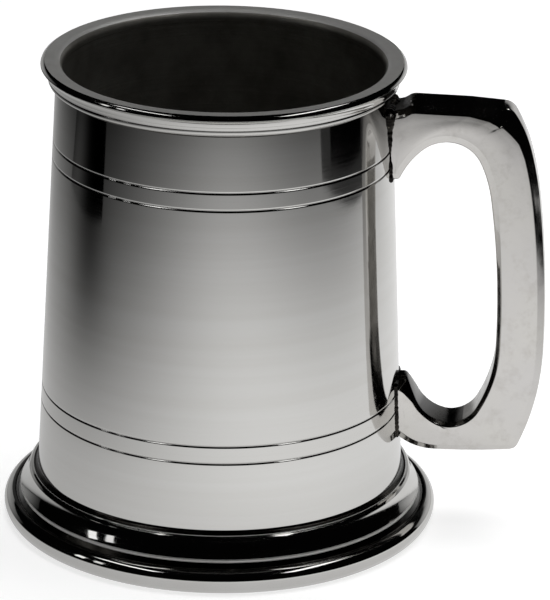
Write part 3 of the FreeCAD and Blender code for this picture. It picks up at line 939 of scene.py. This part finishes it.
def glow_card(name, corners, pools):
    """A black card in the metal with soft pools of light: (place, turn, size, strength, fade height)."""
    material = stage_material(name, BLACK)
    tree = material.node_tree
    shader = tree.nodes["Principled BSDF"]
    shader.inputs["Emission Color"].default_value = (*WHITE, 1)
    geometry = tree.nodes.new("ShaderNodeNewGeometry")
    total = 0.0
    for place, turn, size, strength, *fade_height in pools:
        mapping = tree.nodes.new("ShaderNodeMapping")
        mapping.vector_type = "TEXTURE"
        mapping.inputs["Location"].default_value = place
        mapping.inputs["Rotation"].default_value = (0, 0, turn)
        mapping.inputs["Scale"].default_value = (*size, *(fade_height or [1]))
        tree.links.new(geometry.outputs["Position"], mapping.inputs["Vector"])
        square = tree.nodes.new("ShaderNodeVectorMath")
        square.operation = "DOT_PRODUCT"
        tree.links.new(mapping.outputs["Vector"], square.inputs[0])
        tree.links.new(mapping.outputs["Vector"], square.inputs[1])
        power = math_node(tree, "MULTIPLY", square.outputs["Value"], -0.5)
        total = math_node(tree, "MULTIPLY_ADD", math_node(tree, "EXPONENT", power), strength, total)
    tree.links.new(total, shader.inputs["Emission Strength"])
    card_in_metal(name, corners, material)


def soft_window(name, place, size, strength, lean=0.0):
    """A small bright card in the metal that faces the tankard; lean shears it sideways."""
    middle = Vector(place)
    facing = -middle.normalized()
    along = facing.cross(Vector((0, 0, 1))).normalized()
    level = along * size[0] / 2
    upright = level.cross(facing).normalized() * size[1] / 2 - along * lean / 2
    corners = [middle - level - upright, middle + level - upright,
               middle + level + upright, middle - level + upright]
    card_in_metal(name, corners, stage_material(name, WHITE, strength))


def make_room():
    """Dark room round a pale floor that glows softly and stays out of the metal."""
    world = bpy.data.worlds.new("studio")
    world.use_nodes = True
    background = world.node_tree.nodes["Background"]
    background.inputs["Color"].default_value = (ROOM_GREY, ROOM_GREY, ROOM_GREY, 1)
    bpy.context.scene.world = world
    bpy.context.scene.view_settings.view_transform = "Standard"
    floor = plane("floor", [(-FLOOR_REACH, -FLOOR_REACH, 0), (FLOOR_REACH, -FLOOR_REACH, 0),
                            (FLOOR_REACH, FLOOR_REACH, 0), (-FLOOR_REACH, FLOOR_REACH, 0)],
                  stage_material("pale_floor", FLOOR_GREY, FLOOR_GLOW))
    floor.visible_glossy = False


def make_ground_cards():
    """The lit ground that the metal mirrors, and the dark flags that bound it."""
    glow_card("lit_sheet", [beside(-0.6, 0.9), beside(0.5, 0.9), beside(0.5, -1.2), beside(-0.6, -1.2)], [
        (beside(0.061, 0.12), math.radians(-7.9), (0.178, 0.25), 0.92),
        (beside(0.2, -0.45), 0.0, (0.25, 0.25), 0.8),
        (beside(-0.25, -0.005), 0.0, (0.07, 0.06), -0.11),
        (beside(-0.23, -0.15), 0.0, (0.06, 0.07), 0.035),
        (beside(-0.30, 0.30), 0.0, (0.15, 0.12), 0.04),
        # painted shadow: a dark pool under the tankard's foot stands in for the floor's contact shadow in
        # the metal
        (beside(0.0, 0.0), 0.0, (0.047, 0.047), -0.35),
    ])
    glow_card("left_flag", [beside(-0.33, 0.05, 0.001), beside(-0.9, 0.12, 0.001),
                            beside(-0.9, -0.3, 0.001), beside(-0.30, -0.14, 0.001)],
              [(beside(-0.31, -0.11, 0.0), 0.0, (0.08, 0.035), 0.05)])
    card_in_metal("grey_flag", [beside(0.370, 0.165, 0.001), beside(0.9, 0.45, 0.001),
                                beside(0.9, -0.3, 0.001), beside(0.333, -0.07, 0.001)],
                  stage_material("grey_flag", FLAG_GREY, 1.0))
    card_in_metal("right_flag", [beside(0.396, 0.12, 0.002), beside(0.9, 0.3, 0.002),
                                 beside(0.9, -0.3, 0.002), beside(0.38, -0.07, 0.002)],
                  stage_material("right_flag", BLACK))


def make_back_card(name, start, end, centre, spread, strength):
    """An upright card behind the tankard that glows most near its foot."""
    corners = [beside(start, BACK_CARD_DEPTH), beside(end, BACK_CARD_DEPTH),
               beside(end, BACK_CARD_DEPTH, BACK_CARD_HEIGHT),
               beside(start, BACK_CARD_DEPTH, BACK_CARD_HEIGHT)]
    glow = beside(centre, BACK_CARD_DEPTH, BACK_GLOW_HEIGHT)
    glow_card(name, corners, [(glow, CAMERA_TURN, (spread, 1.0), strength, BACK_GLOW_FADE)])


def make_top_light():
    """A broad soft lamp above that stays out of the metal."""
    data = bpy.data.lights.new("top_light", "AREA")
    data.shape = "RECTANGLE"
    data.size = TOP_LIGHT_SIZE
    data.size_y = TOP_LIGHT_SIZE
    data.energy = TOP_LIGHT_POWER
    lamp = bpy.data.objects.new("top_light", data)
    bpy.context.scene.collection.objects.link(lamp)
    lamp.location = TOP_LIGHT_PLACE
    lamp.rotation_mode = "QUATERNION"
    lamp.rotation_quaternion = (-TOP_LIGHT_PLACE).to_track_quat("-Z", "Y")
    lamp.visible_glossy = False
    lamp.visible_camera = False


def make_studio():
    make_room()
    make_ground_cards()
    make_back_card("left_back_card", start=-0.95, end=-0.04, centre=-0.25, spread=0.3, strength=0.42)
    make_back_card("right_back_card", start=0.14, end=0.95, centre=0.38, spread=0.38, strength=0.66)
    make_top_light()
    soft_window("left_window_near", beside(-0.985, 0.41, 0.57), (0.10, 0.34), 0.5, lean=0.10)
    soft_window("left_window_far", beside(-1.067, 0.194, 0.57), (0.12, 0.34), 0.8, lean=0.10)
    soft_window("left_lamp", beside(-0.55, 0.10, 1.08), (0.75, 0.12), 1.3)
    soft_window("right_lamp", beside(0.52, -0.02, 1.0), (1.0, 0.14), 1.3)


# ------------------------------------------------------------------ the tankard

make_camera()
make_studio()

brushed = brushed_pewter()
polished = polished_pewter()
satin = satin_pewter()
inside = inside_pewter()
cast = cast_pewter()
solder = solder_metal()
painted_shade = painted_shade_pewter()
inner_shade = inner_shade_pewter()

make_barrel(brushed, inside)
make_lip(polished, satin, inside)
make_foot(polished, satin, painted_shade)
make_floor_disc(inside)
make_handle(cast, inner_shade, painted_shade, solder)
make_seam("upper_root_solder", "upper_handle_solder", low=92.4, high=109.4, bead=0.6, top_bead=1.5,
          material=solder)
make_seam("lower_root_solder", "lower_handle_solder", low=24.4, high=37.9, bead=0.6, top_bead=0.6,
          material=solder)
for node in ("lip_solder", "foot_solder", "floor_solder"):
    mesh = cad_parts[node].data
    mesh.materials.clear()
    mesh.materials.append(solder)
